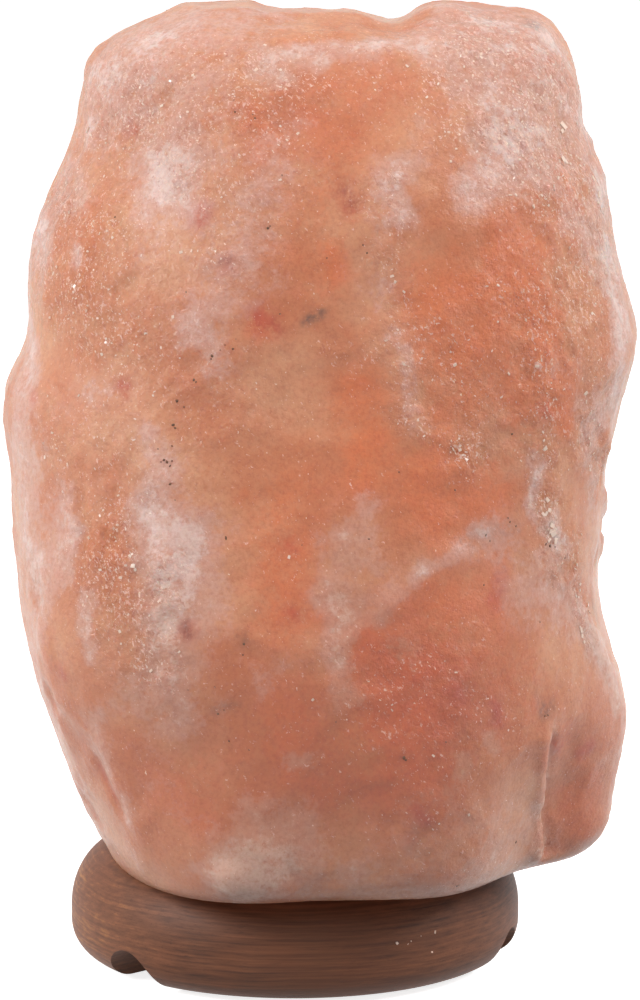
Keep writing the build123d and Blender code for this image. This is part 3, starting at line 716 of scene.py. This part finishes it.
def dress(made, *things):
    """Gives a material to pieces, and to CAD nodes by their names."""
    for thing in things:
        slots = (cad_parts[thing] if isinstance(thing, str) else thing).data.materials
        slots.clear()
        slots.append(made)


# ------------------------ rock salt
# Rough broken salt: milky and orange clouds under a skin that is sugary in places, where each small crystal's
# face turns its own way and some of them flash. Its colour also holds painted light and shade.
def salt_clouds(tree, place, marks, fine):
    """The salt's colour: clouds, the marks with frayed edges, stains, and the painted light and shade that
    some marks carry.
    """
    cloud = add(tree, "TexNoise", Vector=place, Scale=per(30), Detail=5.0, Roughness=0.6)
    veil = add(tree, "TexNoise", Vector=place, Scale=per(10), Detail=6.0, Roughness=0.68)
    veil_swing = add(tree, "Math", MINUS, i0=veil, i1=0.5)
    fine_swing = add(tree, "Math", MINUS, i0=fine, i1=0.5)
    swing = add(tree, "Math", TIMES_PLUS, i0=fine_swing, i1=0.7, i2=veil_swing)

    def frayed(mark, low, high):
        """A mark that starts to show at a strength of low and is full at high."""
        strength = add(tree, "Math", TIMES_PLUS, i0=swing, i1=1.3, i2=marks[mark])
        return add(tree, "MapRange", EASED, Value=strength, From_Min=low, From_Max=high)

    clear = add(tree, "MapRange", EASED, Value=cloud, From_Min=0.36, From_Max=0.66)
    tone = add(tree, "Mix", COLOURS, i0=clear, i6=colour("cc7a4c"), i7=colour("da9b73"))
    iron = add(tree, "Math", TIMES, i0=frayed("iron", 0.05, 1.1), i1=0.9)
    tone = add(tree, "Mix", COLOURS, i0=iron, i6=tone, i7=colour("dd7438"))
    # Milky salt, and painted light where the marks stand for bright rims and white flash spots
    haze_and_light = add(tree, "Math", TIMES, i0=frayed("milky_and_painted_light", 0.08, 1.0), i1=0.6)
    milk_and_light = add(tree, "Math", TIMES_PLUS, i0=frayed("milky_and_painted_light", 0.32, 0.56), i1=0.25, i2=haze_and_light)
    tone = add(tree, "Mix", COLOURS, i0=milk_and_light, i6=tone, i7=colour("dbaea0"))
    whitening = add(tree, "Math", TIMES, i0=frayed("milky_and_painted_light", 0.70, 1.05), i1=0.65)
    tone = add(tree, "Mix", COLOURS, i0=whitening, i6=tone, i7=colour("efdad4"))
    # Painted shade: darker and browner towards the foot and in the painted shade marks, where less light
    # comes out.
    tone = add(tree, "Mix", TINT, i0=marks["deep"], i6=tone, i7=colour("e4b276"))
    stain = add(tree, "MapRange", EASED, Value=fine, From_Min=0.25, From_Max=0.55)
    stain = add(tree, "Math", TIMES, i0=marks["red"], i1=stain)
    tone = add(tree, "Mix", TINT, i0=stain, i6=tone, i7=colour("e07430"))
    smear = add(tree, "MapRange", EASED, Value=fine, From_Min=0.25, From_Max=0.6)
    smear = add(tree, "Math", TIMES, i0=marks["smear"], i1=smear)
    return add(tree, "Mix", COLOURS, i0=smear, i6=tone, i7=colour("5c3e31"))


def salt_streaks(tree, place):
    """Places for sugary crystals, which lie in slanting streaks, uneven and longer than wide."""
    jitter = add(tree, "TexNoise", Vector=place, Scale=per(2.0), Detail=2.0).outputs["Color"]
    jitter = add(tree, "VectorMath", SCALED, i0=jitter, Scale=1.6 * MM)
    uneven = add(tree, "VectorMath", PLUS, i0=place, i1=jitter)
    return add(tree, "Mapping", {"vector_type": "TEXTURE"}, Vector=uneven, Rotation=(0, radians(-32), 0),
               Scale=(1, 1, 2.0))


# Flecks: colour, strength, size in mm and detail, then how high their noise must be for them to show, first
# where the salt is smooth and then where it is sugary
# The dark red kind is the salt's own colour; the two pale kinds are painted glints, small highlights where
# crystal faces catch the light
speck_and_glint_kinds = (
    ("b4583c", 0.4, 1.9, 3.0, 0.69, 0.58),
    ("f3cbba", 0.75, 0.9, 4.0, 0.65, 0.545),
    ("ffe4d2", 0.9, 0.6, 1.5, 0.73, 0.625),
)


def salt_specks_and_glints(tree, place, streaks, marks, tone):
    """The salt's colour with dark red specks and pale painted glints over it, which gather in clusters, and a
    fine mottle.
    """
    gather = add(tree, "TexNoise", Vector=place, Scale=per(9), Detail=3.0, Roughness=0.6)
    cluster = add(tree, "Math", TIMES_PLUS, i0=gather, i1=0.16, i2=-0.08)
    for tint, share, size, detail, first, last in speck_and_glint_kinds:
        speckle = add(tree, "TexNoise", Vector=streaks, Scale=per(size), Detail=detail, Roughness=0.7)
        speckle = add(tree, "Math", PLUS, i0=speckle, i1=cluster)
        raised = add(tree, "Math", TIMES_PLUS, i0=marks["glint"], i1=first - last, i2=speckle)
        specks_and_glints = add(tree, "MapRange", EASED, Value=raised, From_Min=first, From_Max=first + 0.05)
        specks_and_glints = add(tree, "Math", TIMES, i0=specks_and_glints, i1=share)
        tone = add(tree, "Mix", COLOURS, i0=specks_and_glints, i6=tone, i7=colour(tint))
    mottle = add(tree, "TexNoise", Vector=place, Scale=per(1.3), Detail=4.0, Roughness=0.7)
    mottle = add(tree, "MapRange", EASED, Value=mottle, From_Min=0.2, From_Max=0.62)
    mottle = add(tree, "Mix", COLOURS, i0=mottle, i6=colour("cf9077"), i7=colour("ffffff"))
    return add(tree, "Mix", TINT, i0=0.45, i6=tone, i7=mottle)


def salt_skin(tree, place, streaks, marks, fine):
    """The grain of the skin, and the clear faces over it that flash, each tilted its own way."""
    sugar = add(tree, "TexVoronoi", Vector=streaks, Scale=per(3.2)).outputs["Distance"]
    sugar = add(tree, "Math", TIMES_PLUS, i0=sugar, i1=marks["glint"], i2=fine)
    grit = add(tree, "TexNoise", Vector=place, Scale=per(1.1), Detail=3.0, Roughness=0.6)
    height = add(tree, "Math", TIMES_PLUS, i0=grit, i1=0.5, i2=sugar)
    strength = add(tree, "Math", TIMES_PLUS, i0=marks["glint"], i1=0.6, i2=0.3)
    grain = add(tree, "Bump", Height=height, Strength=strength, Distance=1.2 * MM)
    cells = add(tree, "TexVoronoi", Vector=streaks, Scale=per(1.0)).outputs["Color"]
    tilt = add(tree, "VectorMath", MINUS, i0=cells, i1=(0.5, 0.5, 0.5))
    amount = add(tree, "Math", TIMES_PLUS, i0=marks["glint"], i1=1.3, i2=0.12)
    tilt = add(tree, "VectorMath", SCALED, i0=tilt, Scale=amount)
    faces = add(tree, "VectorMath", PLUS, i0=grain, i1=tilt)
    return grain, add(tree, "VectorMath", {"operation": "NORMALIZE"}, i0=faces)


def rock_salt():
    made, tree = material("rock_salt")
    place = add(tree, "TexCoord").outputs["Object"]
    marks = {name: add(tree, "Attribute", {"attribute_name": name}).outputs["Fac"] for name in looks}
    fine = add(tree, "TexNoise", Vector=place, Scale=per(2.4), Detail=5.0, Roughness=0.72)
    streaks = salt_streaks(tree, place)
    tone = salt_specks_and_glints(tree, place, streaks, marks, salt_clouds(tree, place, marks, fine))
    grain, faces = salt_skin(tree, place, streaks, marks, fine)
    shader = add(
        tree, "BsdfPrincipled", Base_Color=tone, Roughness=0.6, IOR=1.544, Normal=grain,
        Subsurface_Weight=0.8, Subsurface_Radius=(1.0, 0.45, 0.30), Subsurface_Scale=6 * MM,
        Coat_Weight=0.5, Coat_Roughness=0.12, Coat_IOR=1.5, Coat_Normal=faces,
    )
    add(tree, "OutputMaterial", Surface=shader)
    return made


# ------------------------ dark mineral grains
# Dull brown-black clay and iron grains in the salt.
def dark_mineral():
    made, tree = material("dark_mineral")
    place = add(tree, "TexCoord").outputs["Object"]
    grain = add(tree, "TexNoise", Vector=place, Scale=per(0.8), Detail=3.0)
    tint = add(tree, "Mix", COLOURS, i0=grain, i6=colour("3a2a22"), i7=colour("8a6248"))
    shader = add(tree, "BsdfPrincipled", Base_Color=tint, Roughness=0.8)
    add(tree, "OutputMaterial", Surface=shader)
    return made


# ------------------------ cleaved salt
# Small clean crystals on the skin: nearly clear, so they show pale and flash where they face a light.
def cleaved_salt():
    made, tree = material("cleaved_salt")
    place = add(tree, "TexCoord").outputs["Object"]
    whitening = add(tree, "TexNoise", Vector=place, Scale=per(1.5), Detail=3.0)
    tint = add(tree, "Mix", COLOURS, i0=whitening, i6=colour("edbfa6"), i7=colour("fdeadc"))
    shader = add(
        tree, "BsdfPrincipled", Base_Color=tint, Roughness=0.18, IOR=1.544,
        Subsurface_Weight=0.3, Subsurface_Radius=(1.0, 0.7, 0.6), Subsurface_Scale=1 * MM,
    )
    add(tree, "OutputMaterial", Surface=shader)
    return made


# ------------------------ turned wood
# Turned hardwood, stained and oiled: the board's straight grain crosses the disc, and the turning tool's fine
# marks run round its rim.
# Across the disc, where the painted light on the wood's left side starts and where it is full
left_light_start, left_light_full = -35 * MM, -68 * MM


def turned_wood():
    made, tree = material("turned_wood")
    place = add(tree, "TexCoord").outputs["Object"]
    bend = add(tree, "TexNoise", Vector=place, Scale=per(40), Detail=2.0).outputs["Color"]
    bend = add(tree, "VectorMath", SCALED, i0=bend, Scale=2.5 * MM)
    bent = add(tree, "VectorMath", PLUS, i0=place, i1=bend)
    board = add(tree, "Mapping", Vector=bent, Scale=(per(60), per(4), per(1.1)))
    board = add(tree, "TexNoise", Vector=board, Scale=1.0, Detail=6.0, Roughness=0.62)
    tooled = add(tree, "Mapping", Vector=bent, Scale=(per(50), per(50), per(0.8)))
    tooled = add(tree, "TexNoise", Vector=tooled, Scale=1.0, Detail=4.0, Roughness=0.55)
    lines = add(tree, "Mix", i0=0.5, i2=board, i3=tooled)
    # Painted light: the disc gets paler towards its left side, where light falls on it
    across = add(tree, "SeparateXYZ", Vector=bent).outputs["X"]
    painted_left_light = add(tree, "MapRange", Value=across, From_Min=left_light_start, From_Max=left_light_full, To_Max=0.15)
    paler = add(tree, "Math", PLUS, i0=lines, i1=painted_left_light)
    stained = add(tree, "ValToRGB", Fac=paler)
    stops = stained.color_ramp.elements
    stops[0].position, stops[0].color = 0.34, colour("372016")
    stops[1].position, stops[1].color = 0.66, colour("86563d")
    stops.new(0.86).color = colour("c08550")
    pore = add(tree, "Mapping", Vector=place, Scale=(per(7), per(0.6), per(0.35)))
    pore = add(tree, "TexNoise", Vector=pore, Scale=1.0, Detail=2.0)
    pores = add(tree, "MapRange", Value=pore, From_Min=0.58, From_Max=0.70, To_Max=0.35)
    tone = add(tree, "Mix", COLOURS, i0=pores, i6=stained, i7=colour("33201a"))
    cloud = add(tree, "TexNoise", Vector=place, Scale=per(24), Detail=4.0)
    cloud = add(tree, "MapRange", Value=cloud, From_Min=0.3, From_Max=0.7, To_Max=0.35)
    tone = add(tree, "Mix", COLOURS, i0=cloud, i6=tone, i7=colour("69371f"))
    height = add(tree, "Math", MINUS, i0=lines, i1=pores)
    bump = add(tree, "Bump", Height=height, Strength=0.25, Distance=0.3 * MM)
    shader = add(tree, "BsdfPrincipled", Base_Color=tone, Roughness=0.55, Specular_IOR_Level=0.3, Normal=bump)
    add(tree, "OutputMaterial", Surface=shader)
    return made


# ------------------------ metals of the holder and the bulb
def metal(name, tint, shade, roughness, grain, stretch=(1, 1, 1), bump=0.05):
    """A metal with its own polish: fine marks of a size in mm, drawn out along an axis by stretch."""
    made, tree = material(name)
    place = add(tree, "TexCoord").outputs["Object"]
    lined = add(tree, "Mapping", Vector=place, Scale=stretch)
    marks = add(tree, "TexNoise", Vector=lined, Scale=per(grain), Detail=4.0, Roughness=0.6)
    cloud = add(tree, "TexNoise", Vector=place, Scale=per(grain * 6), Detail=3.0)
    both = add(tree, "Math", TIMES_PLUS, i0=marks, i1=0.5, i2=cloud)
    part = add(tree, "MapRange", Value=both, From_Min=0.5, From_Max=1.0)
    tone = add(tree, "Mix", COLOURS, i0=part, i6=colour(tint), i7=colour(shade))
    polish = add(tree, "MapRange", Value=marks, From_Min=0.3, From_Max=0.7,
                 To_Min=roughness * 0.75, To_Max=roughness * 1.25)
    relief = add(tree, "Bump", Height=marks, Strength=bump, Distance=0.1 * MM)
    shader = add(tree, "BsdfPrincipled", Base_Color=tone, Metallic=1.0, Roughness=polish, Normal=relief)
    add(tree, "OutputMaterial", Surface=shader)
    return made


# Bright zinc plate: cool grey with a faint cloudy bloom.
zinc = metal("bright_zinc_plate", "b9bdc4", "9ea3aa", 0.34, 1.2)
# Turned and pressed brass, a little dulled by handling.
brass = metal("turned_brass", "c9a25a", "a9824a", 0.30, 0.8)
# Cold-rolled spring strip: dark, with the rolling marks along its length.
strip = metal("rolled_spring_steel", "85878c", "6b6d72", 0.36, 0.5, (1, 1, 0.08), 0.12)
# Nickel plate over brass, almost a mirror.
nickel = metal("nickel_plate", "c6c3bb", "b2aea4", 0.20, 1.0)
# Soft solder, dull and lumpy where it froze.
solder = metal("soft_solder", "a3a5a6", "84878a", 0.45, 0.9, bump=0.4)
# Drawn nickel wire and coiled tungsten, both grey and matt.
wire = metal("drawn_nickel_wire", "a29f99", "8a8883", 0.40, 0.3)
tungsten = metal("tungsten_wire", "5c5b5d", "454547", 0.50, 0.3)


# ------------------------ cut thread of the cord inlet
# The inlet's fine thread, one millimetre from crest to crest, in the same brass.
def threaded_brass():
    made, tree = material("threaded_brass")
    place = add(tree, "TexCoord").outputs["Object"]
    bands = {"wave_type": "BANDS", "bands_direction": "Z", "wave_profile": "TRI"}
    # A wave texture has 10 / pi bands to a unit
    thread = add(tree, "TexWave", bands, Vector=place, Scale=per(1.0) * pi / 10).outputs["Fac"]
    cut = add(tree, "Bump", Height=thread, Strength=0.8, Distance=0.5 * MM)
    tint = add(tree, "Mix", COLOURS, i0=thread, i6=colour("8f6c38"), i7=colour("cba55e"))
    shader = add(tree, "BsdfPrincipled", Base_Color=tint, Metallic=1.0, Roughness=0.32, Normal=cut)
    add(tree, "OutputMaterial", Surface=shader)
    return made


# ------------------------ moulded, fired and pressed pieces
def grained(name, tint, shade, roughness, grain, bump, **more):
    """A material that isn't a metal, whose colour and skin vary with a grain of a size in mm."""
    made, tree = material(name)
    place = add(tree, "TexCoord").outputs["Object"]
    marks = add(tree, "TexNoise", Vector=place, Scale=per(grain), Detail=5.0, Roughness=0.65)
    part = add(tree, "MapRange", Value=marks, From_Min=0.35, From_Max=0.65)
    tone = add(tree, "Mix", COLOURS, i0=part, i6=colour(tint), i7=colour(shade))
    relief = add(tree, "Bump", Height=marks, Strength=bump, Distance=0.2 * MM)
    shader = add(tree, "BsdfPrincipled", Base_Color=tone, Roughness=roughness, Normal=relief, **more)
    add(tree, "OutputMaterial", Surface=shader)
    return made


# Moulded thermoplastic, off-white with the mould's fine matt grain.
plastic = grained("moulded_plastic", "e6e3da", "dcd8cd", 0.42, 0.5, 0.15)
# Steatite, pressed and fired without glaze: cream, dry and slightly speckled.
steatite = grained("fired_steatite", "e8e1d2", "d6cdb9", 0.72, 0.7, 0.25)
# Nylon plugs, grey and waxy.
nylon = grained("moulded_nylon", "a5a5a0", "959590", 0.40, 1.2, 0.1)
# Pressed felt: dark, with a soft fibrous skin.
felt = grained("pressed_felt", "3f3833", "2a2521", 0.95, 0.5, 0.9, Sheen_Weight=0.5, Sheen_Roughness=0.5)
# Black pressed glass between the cap and its contact.
black_glass = grained("black_glass", "0c0c0f", "17171b", 0.12, 2.0, 0.05)


# ------------------------ blown glass
# Blown clear glass, with a trace of grey.
def blown_glass():
    made, tree = material("blown_glass")
    place = add(tree, "TexCoord").outputs["Object"]
    swirl = add(tree, "TexNoise", Vector=place, Scale=per(14), Detail=1.0)
    ripple = add(tree, "Bump", Height=swirl, Strength=0.05, Distance=0.5 * MM)
    tint = add(tree, "Mix", COLOURS, i0=swirl, i6=colour("f4f7f7"), i7=colour("fdfefe"))
    shader = add(tree, "BsdfPrincipled", Base_Color=tint, Roughness=0.02, IOR=1.5, Transmission_Weight=1.0,
                 Normal=ripple)
    add(tree, "OutputMaterial", Surface=shader)
    return made


dress(rock_salt(), block)
dress(dark_mineral(), specks)
dress(cleaved_salt(), flakes, crumbs)
dress(turned_wood(), "wood_base")
dress(zinc, "clip_plate", "clip_rivets", "base_screws", "terminal_screws")
dress(brass, "lock_nut", "screw_shell", "centre_contact", "terminals")
dress(threaded_brass(), "cord_inlet")
dress(strip, "spring_clip_1", "spring_clip_2", "spring_clip_3")
dress(solder, "bulb_end_contact")
dress(wire, "lead_wires")
dress(nickel, rolled_cap)
dress(tungsten, coil)
dress(plastic, "holder_cap", "holder_sleeve")
dress(steatite, "contact_carrier")
dress(nylon, "block_plugs")
dress(felt, "foot_pad_1", "foot_pad_2", "foot_pad_3")
dress(black_glass, "bulb_insulator")
dress(blown_glass(), "bulb_glass", "glass_stem")


# ------------------------ light, floor and background
softbox_size = 0.5
softboxes = {"softbox_left": ((-1.05, -0.50, 0.70), 12.8), "softbox_right": ((1.0, -0.40, 0.95), 13.2)}
floor_reach = 14.0


def softbox(name, place, power):
    """A square soft light that faces the lamp."""
    data = bpy.data.lights.new(name, "AREA")
    data.shape = "SQUARE"
    data.size = softbox_size
    data.energy = power
    made = shown(bpy.data.objects.new(name, data))
    made.location = place
    made.rotation_euler = (aim - Vector(place)).to_track_quat("-Z", "Y").to_euler()


def seen_rays(tree):
    """1 for rays that see the background itself: the camera's, and those by way of metal or glass."""
    rays = add(tree, "LightPath")
    seen = add(tree, "Math", LARGER, i0=rays.outputs["Is Camera Ray"], i1=rays.outputs["Is Glossy Ray"])
    return add(tree, "Math", LARGER, i0=seen, i1=rays.outputs["Is Transmission Ray"])


def pale_room():
    """A world that is white where it is seen and lights the lamp softly."""
    made = bpy.data.worlds.new("world")
    made.use_nodes = True
    tree = made.node_tree
    tree.nodes.clear()
    room = add(tree, "Background", Color=colour("f6f4f2"), Strength=0.36)
    white = add(tree, "Background", Color=(1, 1, 1, 1), Strength=1.0)
    either = add(tree, "MixShader", Fac=seen_rays(tree), i1=room, i2=white)
    add(tree, "OutputWorld", Surface=either)
    return made


def white_paper():
    """Paper that glows where it is seen, so that it ends in the background, and keeps the lamp's shadow. Seen
    from below it isn't there, so that the lamp's underside shows."""
    made, tree = material("white_paper")
    matt = add(tree, "BsdfDiffuse", Color=colour("f0f0f0"))
    glow = add(tree, "Emission", Color=(1, 1, 1, 1), Strength=0.80)
    bright = add(tree, "AddShader", i0=matt, i1=glow)
    dull = add(tree, "BsdfDiffuse", Color=colour("6e6a68"))
    top = add(tree, "MixShader", Fac=seen_rays(tree), i1=dull, i2=bright)
    below = add(tree, "NewGeometry").outputs["Backfacing"]
    clear = add(tree, "BsdfTransparent")
    add(tree, "OutputMaterial", Surface=add(tree, "MixShader", Fac=below, i1=top, i2=clear))
    return made


for name, (place, power) in softboxes.items():
    softbox(name, place, power)
bpy.context.scene.world = pale_room()

floor_corners = [(x * floor_reach, y * floor_reach, 0) for x, y in ((-1, -1), (1, -1), (1, 1), (-1, 1))]
floor_mesh = bpy.data.meshes.new("floor")
floor_mesh.from_pydata(floor_corners, [], [(0, 1, 2, 3)])
floor = shown(bpy.data.objects.new("floor", floor_mesh))
dress(white_paper(), floor)
